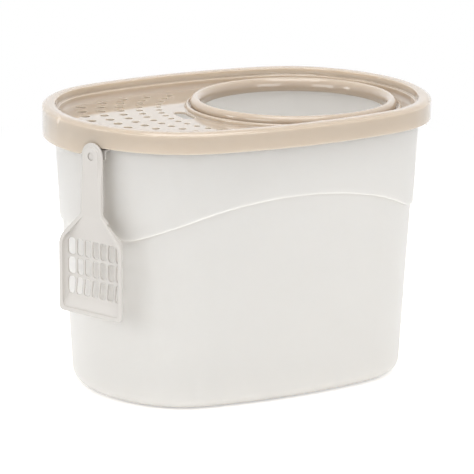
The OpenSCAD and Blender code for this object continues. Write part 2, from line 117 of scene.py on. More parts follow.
class LidSizes(bpy.types.PropertyGroup):
    crest: FloatProperty(
        name="Crest", description="Height of the rim's crest", default=0.370, unit="LENGTH"
    )
    deck: FloatProperty(
        name="Deck", description="Height of the sunken deck's top", default=0.3493, unit="LENGTH"
    )
    thickness: FloatProperty(
        name="Thickness", description="Thickness of the deck", default=0.0028, unit="LENGTH"
    )
    skirt: FloatProperty(
        name="Skirt", description="Height of the skirt's lower edge", default=0.3427, unit="LENGTH"
    )
    grip: FloatProperty(
        name="Grip", description="How much deeper the grip at one end hangs", default=0.0127, unit="LENGTH"
    )
    entry_x: FloatProperty(
        name="Entry place",
        description="Place of the entry's centre from the lid's middle",
        default=0.0845,
        unit="LENGTH",
    )
    entry_radius: FloatProperty(
        name="Entry radius", description="Radius of the round entry", default=0.121, unit="LENGTH"
    )
    drain_arcs: IntProperty(name="Drain arcs", description="Number of arcs of drain holes", default=5)


class TubSizes(bpy.types.PropertyGroup):
    wall: FloatProperty(name="Wall", description="Thickness of the wall", default=0.0025, unit="LENGTH")
    rim: FloatProperty(
        name="Rim", description="Height of the tub's top edge", default=0.3465, unit="LENGTH"
    )
    wave_peak: FloatProperty(
        name="Wave peak", description="Height of the wave line's hump", default=0.2743, unit="LENGTH"
    )
    wave_end: FloatProperty(
        name="Wave end", description="Height of the wave line at the ends", default=0.222, unit="LENGTH"
    )


class Finishes(bpy.types.PropertyGroup):
    lid: FloatVectorProperty(
        name="Lid",
        description="Colour of the lid's plastic",
        subtype="COLOR",
        default=(0.490, 0.400, 0.313),
    )
    tub: FloatVectorProperty(
        name="Tub",
        description="Colour of the tub's plastic",
        subtype="COLOR",
        default=(0.845, 0.795, 0.725),
    )
    scoop: FloatVectorProperty(
        name="Scoop",
        description="Colour of the scoop's plastic",
        subtype="COLOR",
        default=(0.550, 0.525, 0.494),
    )
    rubber: FloatVectorProperty(
        name="Rubber", description="Colour of the feet", subtype="COLOR", default=(0.25, 0.24, 0.23)
    )


class StageSettings(bpy.types.PropertyGroup):
    azimuth: FloatProperty(
        name="Azimuth", description="Turn of the camera round the box", default=-29.834, min=-180, max=180
    )
    elevation: FloatProperty(
        name="Elevation", description="Angle of the camera above the floor", default=13.811, min=-90, max=90
    )
    roll: FloatProperty(name="Roll", description="Roll of the camera", default=0.265, min=-10, max=10)
    distance: FloatProperty(
        name="Distance", description="Distance from the camera to the box", default=4.1536, unit="LENGTH"
    )
    lens: FloatProperty(name="Lens", description="Focal length in millimetres", default=239.62, min=1)
    fill: FloatProperty(
        name="Fill", description="Strength of the even light from all sides", default=0.78, min=0
    )


# Selection and edit helpers


def deselect():
    """Leaves edit mode and deselects every object."""
    if bpy.context.object and bpy.context.object.mode != "OBJECT":
        bpy.ops.object.mode_set(mode="OBJECT")
    bpy.ops.object.select_all(action="DESELECT")


def activate(piece):
    """Makes the piece the only selected object, and the active one."""
    deselect()
    piece.select_set(True)
    bpy.context.view_layer.objects.active = piece


def pick_faces(piece, test):
    """Selects, in edit mode, the faces that pass the test and nothing else; gives their number."""
    bpy.ops.mesh.select_mode(type="FACE")
    bpy.ops.mesh.select_all(action="DESELECT")
    shape = bmesh.from_edit_mesh(piece.data)
    found = 0
    for face in shape.faces:
        if test(face):
            face.select = True
            found += 1
    shape.select_flush_mode()
    bmesh.update_edit_mesh(piece.data)
    return found


def loop_of_points(name, points, fill="NOTHING"):
    """A circle whose vertices are set along the points, left in edit mode with all of it selected."""
    deselect()
    bpy.ops.mesh.primitive_circle_add(vertices=len(points), radius=0.01, fill_type=fill)
    piece = bpy.context.object
    piece.name = name
    piece.data.name = name
    for vertex, point in zip(piece.data.vertices, points):
        vertex.co = point
    bpy.ops.object.mode_set(mode="EDIT")
    bpy.ops.mesh.select_all(action="SELECT")
    return piece


def extrude_to(piece, ring, points):
    """Extrudes the selected ring and sets the new ring on the points; gives the new ring's indices."""
    bpy.ops.mesh.extrude_edges_move()
    shape = bmesh.from_edit_mesh(piece.data)
    shape.verts.index_update()
    shape.verts.ensure_lookup_table()
    new = []
    for index, point in zip(ring, points):
        vertex = shape.verts[index]
        other = next(e.other_vert(vertex) for e in vertex.link_edges if e.other_vert(vertex).select)
        other.co = point
        new.append(other.index)
    bmesh.update_edit_mesh(piece.data)
    return new


def loft(name, rings):
    """A closed skin through rings of points, with a face over the first and the last ring."""
    piece = loop_of_points(name, rings[0])
    bpy.ops.mesh.edge_face_add()
    bpy.ops.mesh.select_mode(type="EDGE")
    ring = list(range(len(rings[0])))
    for points in rings[1:]:
        ring = extrude_to(piece, ring, points)
    bpy.ops.mesh.edge_face_add()
    bpy.ops.mesh.select_all(action="SELECT")
    bpy.ops.mesh.normals_make_consistent(inside=False)
    bpy.ops.object.mode_set(mode="OBJECT")
    return piece


def spun(name, section, centre, steps, angle=2 * math.pi):
    """A closed section of (distance, height) points spun about an upright axis through centre."""
    points = [(centre[0] + r, centre[1], z) for r, z in section]
    whole = angle > 2 * math.pi - 0.001
    piece = loop_of_points(name, points, fill="NOTHING" if whole else "NGON")
    bpy.ops.mesh.spin(
        steps=steps, angle=angle, center=(centre[0], centre[1], 0), axis=(0, 0, 1), use_auto_merge=True
    )
    bpy.ops.mesh.select_all(action="SELECT")
    bpy.ops.mesh.remove_doubles(threshold=0.000001)
    bpy.ops.mesh.normals_make_consistent(inside=False)
    bpy.ops.object.mode_set(mode="OBJECT")
    return piece


def prism(name, points, lift):
    """A flat outline raised by the lift vector."""
    piece = loop_of_points(name, points, fill="NGON")
    bpy.ops.mesh.extrude_region_move(TRANSFORM_OT_translate={"value": lift})
    bpy.ops.mesh.select_all(action="SELECT")
    bpy.ops.mesh.normals_make_consistent(inside=False)
    bpy.ops.object.mode_set(mode="OBJECT")
    return piece


def cut(piece, tool, operation="DIFFERENCE"):
    """Applies a boolean of the piece with the tool, and deletes the tool."""
    activate(piece)
    modifier = piece.modifiers.new("cut", "BOOLEAN")
    modifier.operation = operation
    modifier.solver = "EXACT"
    modifier.object = tool
    bpy.ops.object.modifier_apply(modifier=modifier.name)
    discard(tool)
    if not piece.data.polygons:
        raise RuntimeError(piece.name + " has no faces left after a cut")


def discard(piece):
    """Deletes a piece and its mesh."""
    mesh = piece.data
    bpy.data.objects.remove(piece)
    bpy.data.meshes.remove(mesh)


def duplicate(piece, name, place, scale=(1, 1, 1)):
    """A copy with its own mesh, scaled and moved to its place, with both applied."""
    activate(piece)
    bpy.ops.object.duplicate()
    copy = bpy.context.object
    copy.name = name
    copy.data.name = name
    copy.location = place
    copy.scale = scale
    bpy.ops.object.transform_apply(location=True, rotation=True, scale=True)
    return copy


def clean_cuts(piece):
    """Dissolves the edges that the cuts left too short to see, and splits the many-sided flats into
    triangles, so that none of them has no area."""
    activate(piece)
    bpy.ops.object.mode_set(mode="EDIT")
    bpy.ops.mesh.select_mode(type="FACE")
    bpy.ops.mesh.select_all(action="SELECT")
    bpy.ops.mesh.dissolve_degenerate(threshold=0.000002)
    bpy.ops.mesh.select_face_by_sides(number=4, type="GREATER", extend=False)
    bpy.ops.mesh.quads_convert_to_tris(quad_method="FIXED", ngon_method="BEAUTY")
    bpy.ops.object.mode_set(mode="OBJECT")


def finish_surface(piece):
    """Smooth shading that keeps creases, with normals led by the large faces."""
    activate(piece)
    bpy.ops.object.shade_smooth_by_angle(angle=CREASE)
    weighted = piece.modifiers.new("normals", "WEIGHTED_NORMAL")
    weighted.keep_sharp = True
    bpy.ops.object.modifier_apply(modifier=weighted.name)


def hand_over(piece, body, node, material):
    """Makes the piece stand for its solid: it rides on the body and takes its finish."""
    piece.data.materials.clear()
    piece.data.materials.append(material)
    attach(piece, body)
    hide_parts(node)


# The outline that lid and tub share


def outline_columns(sizes):
    """Points round the lid's outline as (x, y, normal x, normal y), from its eight arcs."""
    end_x = sizes.length / 2 - sizes.end_radius
    side_y = sizes.width / 2 - sizes.side_radius
    gap = math.hypot(end_x, side_y)
    to_end = (end_x / gap, -side_y / gap)
    side_link = sizes.side_radius - sizes.bend_radius
    end_link = sizes.end_radius - sizes.bend_radius
    along = (gap**2 + side_link**2 - end_link**2) / (2 * gap)
    aside = math.sqrt(side_link**2 - along**2)
    bend_x = to_end[0] * along + to_end[1] * aside
    bend_y = side_y + to_end[1] * along - to_end[0] * aside
    end_turn = math.atan2(bend_y, bend_x - end_x)
    side_turn = math.atan2(bend_y - side_y, bend_x)
    quarter = [
        (end_x, 0, sizes.end_radius, 0, end_turn),
        (bend_x, bend_y, sizes.bend_radius, end_turn, side_turn),
        (0, side_y, sizes.side_radius, side_turn, math.pi / 2),
    ]
    first = []
    for cx, cy, radius, start, stop in quarter:
        steps = max(round(radius * (stop - start) / sizes.spacing), 2)
        for i in range(steps):
            turn = start + (stop - start) * i / steps
            nx, ny = math.cos(turn), math.sin(turn)
            first.append((cx + radius * nx, cy + radius * ny, nx, ny))
    top = (0, sizes.width / 2, 0, 1)
    second = [top] + [(-x, y, -nx, ny) for x, y, nx, ny in reversed(first[1:])]
    half = first + second
    return half + [(-x, -y, -nx, -ny) for x, y, nx, ny in half]


def ring_at(columns, row):
    """One ring of points: the row gives each column's offset from the outline and its height."""
    points = []
    for column in columns:
        x, y, nx, ny = column
        offset, height = row(column)
        points.append((MIDDLE_X + x + nx * offset, y + ny * offset, height))
    return points


def level(offset, height):
    """A row at one offset and height all the way round, both in millimetres."""
    return lambda column: (offset * MM, height * MM)


def arc_points(cx, cz, radius, start, stop, steps):
    """Points on an arc in section, its angles in degrees."""
    turns = [math.radians(start + (stop - start) * i / steps) for i in range(steps + 1)]
    return [(cx + radius * math.cos(t), cz + radius * math.sin(t)) for t in turns]


# Lid


def grip_dip(column, sizes):
    """How far the skirt's edge hangs lower at the grip. It ends short of the hook on the front side,
    and rises at each end in a gentle slope and then a steep one."""
    front, back = -0.046, 0.084
    gentle, gentle_rise, steep = 0.006, 0.0036, 0.0036
    x, y = column[0], column[1]
    over = max(y - back, front - y)
    if x > 0 or over >= gentle + steep:
        return 0
    if over <= 0:
        return sizes.grip
    if over <= gentle:
        return sizes.grip - gentle_rise * over / gentle
    return (sizes.grip - gentle_rise) * (gentle + steep - over) / steep


def lid_rows(sizes):
    """Rows of the lid's section, from the deck's underside round the skirt and rim to the deck's top.
    An offset is in millimetres from the outline, and less than nothing inside it."""
    under = (sizes.deck - sizes.thickness) / MM
    low = sizes.skirt / MM
    crest = sizes.crest / MM
    deck = sizes.deck / MM
    middle = -70
    skin = -2.5
    neck = -15.5

    # The deck's underside, with the rib that centres the lid on the tub
    rows = [level(middle, under), level(-36, under), level(-22.6, under)]
    rib = [(-21.8, -0.8), (-21.8, -5.5), (-21.3, -6), (-19.8, -6), (-19.3, -5.5), (-19.3, -0.8)]
    rows += [level(o, under + z) for o, z in rib]

    # The channel under the rim, and down the skirt's inside
    rows += [level(-18.5, under), level(-16.2, under), level(neck, under + 0.7)]
    rows += [level(neck, crest - 6.5), level(-14, crest - 5), level(-4, crest - 5)]
    rows += [level(skin, crest - 6.5), level(skin, crest - 14)]

    # The skirt's lower edge, which hangs deeper at the grip, and up its outside
    for offset, lift in ((skin, 0.5), (-2.35, 0.15), (-2, 0), (-0.7, 0), (-0.2, 0.2), (0, 0.7)):
        rows.append(lambda c, o=offset, z=lift: (o * MM, (low + z) * MM - grip_dip(c, sizes)))
    rows += [level(0, low + z) for z in (4, 9, 14, 18)]

    # The rim: its outer edge, its slightly domed top and the bead on its inner edge
    top, outer_fall, inner_fall = -8, 0.0611, 0.0107
    rows += [level(*p) for p in arc_points(-2.5, crest - 5, 2.5, 0, 50, 4)]
    rows += [level(o, crest - outer_fall * (o - top) ** 2) for o in (-2, -3.2, -4.6, -6.2, top)]
    rows += [level(o, crest - inner_fall * (o - top) ** 2) for o in (-10, -12, -14)]
    rows += [level(*p) for p in arc_points(-15.3, crest - 2.35, 1.75, 90, 172, 6)]

    # The ledge below the bead, and down to the deck
    ledge = ((-17.4, 14.4), (-17.7, 11.6), (-18.1, 11.0), (-18.8, 10.7))
    rows += [level(o, deck + z) for o, z in ledge]
    rows += [level(*p) for p in arc_points(-19.6, deck + 9.2, 1.5, 80, 168, 6)]
    rows += [level(*p) for p in arc_points(-28.4, deck + 7, 7, -5, -90, 9)]
    rows += [level(-33, deck), level(-37, deck), level(middle, deck)]
    return rows


def press_notch(piece, side, sizes, outline):
    """Presses the thumb notch into one end: the skin is split along the notch's two planes, then the
    part between them goes in."""
    end = outline.length / 2
    depth, half, run, middle = 0.0055, 0.0092, 0.0165, 0.004
    top = sizes.crest + 0.001
    rim_reach, aside = 0.012, 0.02
    skin, cap = 0.0024, 0.0045
    activate(piece)
    bpy.ops.object.mode_set(mode="EDIT")

    def near(face):
        c = face.calc_center_median()
        reach = side * (c.x - MIDDLE_X)
        return reach > end - rim_reach and abs(c.y - middle) < aside and c.z > top - run - 0.006

    slope = depth / half
    for y_side in (-1, 1):
        if not pick_faces(piece, near):
            raise RuntimeError("no faces of the lid lie where the thumb notch goes")
        normal = Vector((side, y_side * -slope, depth / run)).normalized()
        point = (MIDDLE_X + side * end, middle, top - run)
        bpy.ops.mesh.bisect(plane_co=point, plane_no=normal)
    shape = bmesh.from_edit_mesh(piece.data)
    for vertex in shape.verts:
        x, y, z = vertex.co
        reach = side * (x - MIDDLE_X)
        if reach < end - rim_reach or abs(y - middle) > aside or z < top - run:
            continue
        dent = depth * (z - top + run) / run - slope * abs(y - middle)
        if dent <= 0:
            continue
        inner = reach < end - skin and z < sizes.crest - cap
        if inner:
            vertex.co.x -= side * dent
        elif reach > end - dent:
            vertex.co.x = MIDDLE_X + side * (end - dent)
    bmesh.update_edit_mesh(piece.data)
    bpy.ops.object.mode_set(mode="OBJECT")


def collar_section(sizes):
    """Closed section of the collar as (distance from the entry's axis, height)."""
    entry = sizes.entry_radius / MM
    deck = sizes.deck / MM
    under = deck - 2.8
    half, rise, bead, flare = 8, 14.3, 7.3, 12.5
    ring, crest = entry + half, deck + rise

    # Up the entry's edge and over the flared inside, then round the bead
    points = [(entry, under), (entry, deck)]
    for r, z in arc_points(0, 0, 1, 180, 96, 14):
        points.append((ring + half * r, crest - flare + flare * z))
    points += arc_points(ring, crest - bead, bead, 90, -62, 22)

    # The low ridge outside the bead, its foot on the deck, and back under the deck
    points += arc_points(ring + bead, crest - 15.2, 2.0, 120, 70, 4)
    points += [(ring + 10.4, deck + 5.5)]
    points += arc_points(ring + 10.9, deck + 3.1, 2.4, 78, 5, 5)
    points += [(ring + 13.5, deck + 1.4)]
    points += arc_points(ring + 14.8, deck + 1.2, 1.2, 190, 262, 4)
    points += [(ring + 15.6, deck - 0.4), (ring + 9, under)]
    return [(r * MM, z * MM) for r, z in points]


def drain_hole_tool(sizes):
    """All the drain holes as one cutting tool: one upright pin, copied along the arcs about the entry.
    An arc further out has fewer and wider holes."""
    nearest, arc_gap = 178.2, 25.3
    most, fewer = 18, 2
    width, wider = 9, 1.1
    between = math.radians(6.2)
    centre = (MIDDLE_X + sizes.entry_x, 0)
    deselect()
    bpy.ops.mesh.primitive_cylinder_add(vertices=28, radius=MM, depth=0.012, location=(0, 0, 0))
    pin = bpy.context.object
    pins = []
    for arc in range(sizes.drain_arcs):
        count = most - fewer * arc
        radius = (nearest + arc_gap * arc) * MM
        hole = (width + wider * arc) / 2
        for i in range(count):
            turn = math.pi + between * (i - (count - 1) / 2)
            place = (centre[0] + radius * math.cos(turn), centre[1] + radius * math.sin(turn), sizes.deck)
            pins.append(duplicate(pin, "pin", place, (hole, hole, 1)))
    discard(pin)
    activate(pins[0])
    for copy in pins:
        copy.select_set(True)
    bpy.ops.object.join()
    return pins[0]


def slot_tool(sizes):
    """The return slot as a cutting tool: a curved bar with round ends."""
    middle, half = 0.1555, 0.0085
    steps, end_steps = 16, 12
    start, stop = math.pi - math.radians(12.9), math.pi - math.radians(1.6)
    centre = Vector((MIDDLE_X + sizes.entry_x, 0, 0))
    low = sizes.deck - 0.006

    def along(turn, distance):
        return Vector((math.cos(turn), math.sin(turn), 0)) * distance

    points = [centre + along(start + (stop - start) * i / steps, middle + half) for i in range(steps + 1)]
    for i in range(1, end_steps):
        round_end = stop + math.pi * i / end_steps
        points.append(centre + along(stop, middle) + along(round_end, half))
    points += [centre + along(stop + (start - stop) * i / steps, middle - half) for i in range(steps + 1)]
    for i in range(1, end_steps):
        round_end = start + math.pi * i / end_steps + math.pi
        points.append(centre + along(start, middle) + along(round_end, half))
    return prism("slot_tool", [(p.x, p.y, low) for p in points], (0, 0, 0.012))


class LITTERBOX_OT_lid(bpy.types.Operator):
    """Model the lid with its rim, sunken deck, drain holes and collared entry"""

    bl_idname = "litterbox.lid"
    bl_label = "Lid"

    def execute(self, context):
        outline, sizes = context.scene.litterbox_outline, context.scene.litterbox_lid
        columns = outline_columns(outline)
        lid = loft("lid_moulding", [ring_at(columns, row) for row in lid_rows(sizes)])
        for side in (1, -1):
            press_notch(lid, side, sizes, outline)
        centre = (MIDDLE_X + sizes.entry_x, 0)
        deselect()
        round_steps = 220
        bpy.ops.mesh.primitive_cylinder_add(
            vertices=round_steps,
            radius=sizes.entry_radius + 0.003,
            depth=0.06,
            location=(*centre, sizes.deck),
        )
        cut(lid, bpy.context.object)
        cut(lid, spun("collar", collar_section(sizes), centre, round_steps), "UNION")
        cut(lid, drain_hole_tool(sizes))
        cut(lid, slot_tool(sizes))
        clean_cuts(lid)
        finish_surface(lid)
        hand_over(lid, "lid", "lid", lid_finish())
        return {"FINISHED"}


# Tub


def wave_height(x, sizes):
    """Height of the wave line at a place along the box, in millimetres: a round hump that runs out
    into the level ends through a hollow, which is wider and ends higher on the entry's side."""
    hump, middle = 500, -8
    peak, end = sizes.wave_peak / MM, sizes.wave_end / MM
    hollow = 35
    if x > 0:
        hollow = 100
        end += 9
    centre = peak - hump
    reach = math.sqrt((hump + hollow) ** 2 - (end + hollow - centre) ** 2)
    away = abs(x / MM - middle)
    if away >= reach:
        return end
    if away > reach * hump / (hump + hollow):
        return end + hollow - math.sqrt(hollow**2 - (reach - away) ** 2)
    return centre + math.sqrt(hump**2 - away**2)


def tub_rows(sizes):
    """Rows of the tub's section, from under its floor up the outside, over the rim and down inside."""
    rim, end = sizes.rim / MM, sizes.wave_end / MM
    wall = sizes.wall / MM

    def band_line(z):
        """Offset of the outside above the wave line."""
        return -BAND_INSET - (rim - z) * math.tan(BAND_LEAN)

    def wall_line(z):
        """Offset of the outside below the wave line."""
        return band_line(end) - STEP - (end - z) * math.tan(WALL_LEAN)

    def plain(line, height, inset=0):
        return level(line(height) - inset, height)

    def waved(line, lift, nudge=0, inset=0):
        def row(column):
            height = wave_height(column[0], sizes) + lift
            return ((line(height) + nudge - inset) * MM, height * MM)

        return row

    base, floor, middle, bend = 2, 3, -95, 16
    lean = math.degrees(WALL_LEAN)
    foot = wall_line(base) - bend / math.cos(WALL_LEAN) + bend * math.tan(WALL_LEAN)
    top = band_line(rim)

    # Under the floor, round the bend and up to the wave line
    rows = [level(middle, base), level(foot - 6, base)]
    rows += [level(*p) for p in arc_points(foot, base + bend, bend, -90, -lean, 10)]
    rows += [plain(wall_line, z) for z in (40, 80, 120, 160, 200)]
    rows += [waved(wall_line, z) for z in (-12, -3, -1.2)]

    # The step of the wave line, and on up to the rim
    rows += [waved(wall_line, -0.5, 0.1), waved(wall_line, -0.1, 0.4)]
    rows += [waved(band_line, 0, -0.5), waved(band_line, 0.05, -0.2), waved(band_line, 0.25, -0.03)]
    rows += [waved(band_line, z) for z in (0.6, 6, 14)]
    rows += [plain(band_line, z) for z in (300, 315, 330, 340, rim - 0.7)]

    # Over the rim
    for offset, height in ((-0.3, -0.2), (-0.8, 0), (-1.7, 0), (-2.2, -0.2)):
        rows.append(level(top + offset, rim + height))

    # Down the inside, past the wave line to the floor
    rows += [plain(band_line, z, wall) for z in (rim - 0.7, 320, 300)]
    rows += [waved(band_line, 10, 0, wall), waved(band_line, wall + 1, 0, wall)]
    rows += [waved(band_line, wall, -0.4, wall), waved(wall_line, wall - 0.3, 0.5, wall)]
    rows += [waved(wall_line, wall - 1.5, 0, wall), waved(wall_line, -8, 0, wall)]
    rows += [plain(wall_line, z, wall) for z in (190, 150, 110, 70, 35)]
    rows += [level(*p) for p in arc_points(foot, base + bend, bend - wall - 0.4, -lean, -90, 9)]
    rows += [level(foot - 6, base + floor), level(middle, base + floor)]
    return rows


def carry_lip(side, outline):
    """A shelf with a turned-down edge under the lid's skirt at one end."""
    radius = outline.end_radius / MM
    root, top, thick, edge, drop, half_width = -18, 340.5, 2.5, 4.5, 6, 45
    section = [
        (root, top),
        (-edge - 1, top),
        (-edge - 0.3, top - 0.3),
        (-edge, top - 1),
        (-edge, top - drop + 0.6),
        (-edge - 0.5, top - drop),
        (-edge - thick + 0.5, top - drop),
        (-edge - thick, top - drop + 0.6),
        (-edge - thick, top - thick),
        (root, top - thick),
    ]
    half_turn = math.asin(half_width / radius)
    hub = (MIDDLE_X + side * (outline.length / 2 - outline.end_radius), 0)
    lip = spun("lip", [((radius + o) * MM, z * MM) for o, z in section], hub, 40, 2 * half_turn)
    activate(lip)
    start = -half_turn if side > 0 else math.pi - half_turn
    to_hub = Matrix.Translation((*hub, 0))
    lip.matrix_world = to_hub @ Matrix.Rotation(start, 4, "Z") @ to_hub.inverted()
    bpy.ops.object.transform_apply(location=True, rotation=True, scale=True)
    return lip


class LITTERBOX_OT_tub(bpy.types.Operator):
    """Model the tub with its wave line and carry lips"""

    bl_idname = "litterbox.tub"
    bl_label = "Tub"

    def execute(self, context):
        outline, sizes = context.scene.litterbox_outline, context.scene.litterbox_tub
        columns = outline_columns(outline)
        tub = loft("tub_moulding", [ring_at(columns, row) for row in tub_rows(sizes)])
        for side in (1, -1):
            cut(tub, carry_lip(side, outline), "UNION")
        finish_surface(tub)
        hand_over(tub, "box", "tub", tub_finish())
        return {"FINISHED"}


# Scoop and hook


def softened(node, name, voxel, rounds):
    """A copy of a solid with its edges eased, as a mould leaves them. It is turned square to the axes
    for the remesh, so that its flat faces stay flat, and then turned back."""
    source = frame["nodes"][node]
    piece = source.copy()
    piece.data = source.data.copy()
    piece.name = name
    piece.data.name = name
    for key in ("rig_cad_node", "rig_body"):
        if key in piece:
            del piece[key]
    piece.parent = None
    bpy.context.scene.collection.objects.link(piece)
    activate(piece)
    turn = Matrix.Rotation(-SCOOP_FACING, 4, "Z")
    piece.matrix_world = turn
    bpy.ops.object.transform_apply(location=True, rotation=True, scale=True)
    bpy.ops.object.mode_set(mode="EDIT")
    bpy.ops.mesh.select_all(action="SELECT")
    bpy.ops.mesh.remove_doubles(threshold=0.000005)
    bpy.ops.object.mode_set(mode="OBJECT")
    remesh = piece.modifiers.new("remesh", "REMESH")
    remesh.mode = "VOXEL"
    remesh.voxel_size = voxel
    bpy.ops.object.modifier_apply(modifier=remesh.name)
    smooth = piece.modifiers.new("ease", "SMOOTH")
    smooth.factor = 0.5
    smooth.iterations = rounds
    bpy.ops.object.modifier_apply(modifier=smooth.name)
    piece.matrix_world = turn.inverted()
    bpy.ops.object.transform_apply(location=True, rotation=True, scale=True)
    bpy.ops.object.shade_smooth()
    return piece


class LITTERBOX_OT_scoop(bpy.types.Operator):
    """Model the slotted scoop and the hook it hangs on"""

    bl_idname = "litterbox.scoop"
    bl_label = "Scoop and hook"

    def execute(self, context):
        scoop = softened("scoop", "scoop_moulding", 0.0006, 2)
        hand_over(scoop, "scoop", "scoop", scoop_finish())
        hook = softened("scoop_hook", "hook_moulding", 0.0005, 3)
        hand_over(hook, "box", "scoop_hook", scoop_finish())
        return {"FINISHED"}


# Feet


class LITTERBOX_OT_feet(bpy.types.Operator):
    """Model the four rubber feet"""

    bl_idname = "litterbox.feet"
    bl_label = "Feet"

    def execute(self, context):
        names = sorted(n for n in frame["nodes"] if n.startswith("rubber_foot"))
        low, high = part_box(names[0])
        radius = (high.x - low.x) / 2
        dish, groove, edge = 0.0003, 0.0004, 0.0006

        # The dished middle of the sole, the groove round it, its rounded edge, and the side and top
        section = [(0, low.z + dish), (radius * 0.35, low.z + dish), (radius * 0.4, low.z)]
        section += [(radius * 0.62, low.z), (radius * 0.66, low.z + groove)]
        section += [(radius * 0.72, low.z + groove), (radius * 0.76, low.z)]
        section += [(radius - edge, low.z), (radius - edge / 3, low.z + edge / 3), (radius, low.z + edge)]
        section += [(radius, high.z - edge / 2), (radius - edge / 2, high.z), (0, high.z)]
        first = spun("foot", section, (0, 0), 64)
        for node in names:
            low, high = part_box(node)
            place = ((low.x + high.x) / 2, (low.y + high.y) / 2, 0)
            foot = duplicate(first, "sole_" + node[12:], place)
            finish_surface(foot)
            hand_over(foot, "box", node, rubber_finish())
        discard(first)
        return {"FINISHED"}


# Finishes


def new_material(name):
    """A material, with its nodes, its shader and a source of coordinates to build on."""
    material = bpy.data.materials.new(name)
    material.use_nodes = True
    nodes, links = material.node_tree.nodes, material.node_tree.links
    shader = next(n for n in nodes if n.type == "BSDF_PRINCIPLED")
    place = nodes.new("ShaderNodeTexCoord")
    return material, nodes, links, shader, place


def noise(nodes, links, place, scale, detail, roughness=0.5):
    """A noise pattern on the piece's own coordinates."""
    texture = nodes.new("ShaderNodeTexNoise")
    texture.inputs["Scale"].default_value = scale
    texture.inputs["Detail"].default_value = detail
    texture.inputs["Roughness"].default_value = roughness
    links.new(place.outputs["Object"], texture.inputs["Vector"])
    return texture


def plastic(name, colour, roughness, mottle, grain, grain_scale, glow_through=0.0, coat=0.0):
    """Moulded plastic: a faint mottle in the colour, uneven gloss and a fine grain in the surface. The
    thin wall may let some light through."""
    material, nodes, links, shader, place = new_material(name)
    shader.inputs["Subsurface Weight"].default_value = glow_through
    shader.inputs["Coat Weight"].default_value = coat
    shader.inputs["Coat Roughness"].default_value = 0.04
    shader.inputs["Subsurface Radius"].default_value = (1.0, 0.97, 0.94)
    shader.inputs["Subsurface Scale"].default_value = 0.017
    cloud = noise(nodes, links, place, 14.0, 3.0)
    tint = nodes.new("ShaderNodeValToRGB")
    tint.color_ramp.elements[0].position = 0.3
    tint.color_ramp.elements[1].position = 0.7
    tint.color_ramp.elements[0].color = (*[c * (1 - mottle) for c in colour], 1)
    tint.color_ramp.elements[1].color = (*[min(c * (1 + mottle), 1) for c in colour], 1)
    links.new(cloud.outputs["Fac"], tint.inputs["Fac"])
    links.new(tint.outputs["Color"], shader.inputs["Base Color"])
    smear = noise(nodes, links, place, 22.0, 2.0)
    gloss = nodes.new("ShaderNodeMapRange")
    gloss.inputs["To Min"].default_value = roughness * 0.85
    gloss.inputs["To Max"].default_value = roughness * 1.15
    links.new(smear.outputs["Fac"], gloss.inputs["Value"])
    links.new(gloss.outputs["Result"], shader.inputs["Roughness"])
    fine = noise(nodes, links, place, grain_scale, 2.0, 0.6)
    bump = nodes.new("ShaderNodeBump")
    bump.inputs["Strength"].default_value = grain
    bump.inputs["Distance"].default_value = 0.0001
    links.new(fine.outputs["Fac"], bump.inputs["Height"])
    links.new(bump.outputs["Normal"], shader.inputs["Normal"])
    return material


def lid_finish():
    colour = bpy.context.scene.litterbox_finishes.lid
    return plastic(
        "lid gloss plastic",
        colour,
        roughness=0.07,
        mottle=0.012,
        grain=0.02,
        grain_scale=700.0,
        glow_through=0.9,
        coat=0.7,
    )


def tub_finish():
    colour = bpy.context.scene.litterbox_finishes.tub
    return plastic(
        "tub satin plastic",
        colour,
        roughness=0.42,
        mottle=0.008,
        grain=0.25,
        grain_scale=1100.0,
        glow_through=1.0,
    )


def scoop_finish():
    material = bpy.data.materials.get("scoop plastic")
    if material:
        return material
    colour = bpy.context.scene.litterbox_finishes.scoop
    return plastic(
        "scoop plastic", colour, roughness=0.30, mottle=0.008, grain=0.12, grain_scale=1000.0
    )


def rubber_finish():
    material = bpy.data.materials.get("foot rubber")
    if material:
        return material
    colour = bpy.context.scene.litterbox_finishes.rubber
    return plastic("foot rubber", colour, roughness=0.75, mottle=0.05, grain=0.5, grain_scale=1500.0)


# Stage


def seen_white(nodes, links, lit, white):
    """Shows the white shader to camera, gloss and see-through rays, and the lit one to the rest."""
    rays = nodes.new("ShaderNodeLightPath")
    first = nodes.new("ShaderNodeMath")
    first.operation = "MAXIMUM"
    links.new(rays.outputs["Is Camera Ray"], first.inputs[0])
    links.new(rays.outputs["Is Glossy Ray"], first.inputs[1])
    second = nodes.new("ShaderNodeMath")
    second.operation = "MAXIMUM"
    links.new(first.outputs[0], second.inputs[0])
    links.new(rays.outputs["Is Transmission Ray"], second.inputs[1])
    mix = nodes.new("ShaderNodeMixShader")
    links.new(second.outputs[0], mix.inputs[0])
    links.new(lit.outputs[0], mix.inputs[1])
    links.new(white.outputs[0], mix.inputs[2])
    return mix


def toward(azimuth, elevation):
    """The direction from the box to something at an azimuth from the front and an elevation."""
    az, el = math.radians(azimuth), math.radians(elevation)
    return Vector((math.sin(az) * math.cos(el), -math.cos(az) * math.cos(el), math.sin(el)))


def softbox(name, place, aim, size, power):
    """A rectangular area lamp that faces its aim."""
    lamp_data = bpy.data.lights.new(name, "AREA")
    lamp_data.shape = "RECTANGLE"
    lamp_data.size, lamp_data.size_y = size
    lamp_data.energy = power
    lamp = bpy.data.objects.new(name, lamp_data)
    bpy.context.scene.collection.objects.link(lamp)
    lamp.location = place
    lamp.rotation_euler = (Vector(aim) - Vector(place)).to_track_quat("-Z", "Y").to_euler()
    return lamp


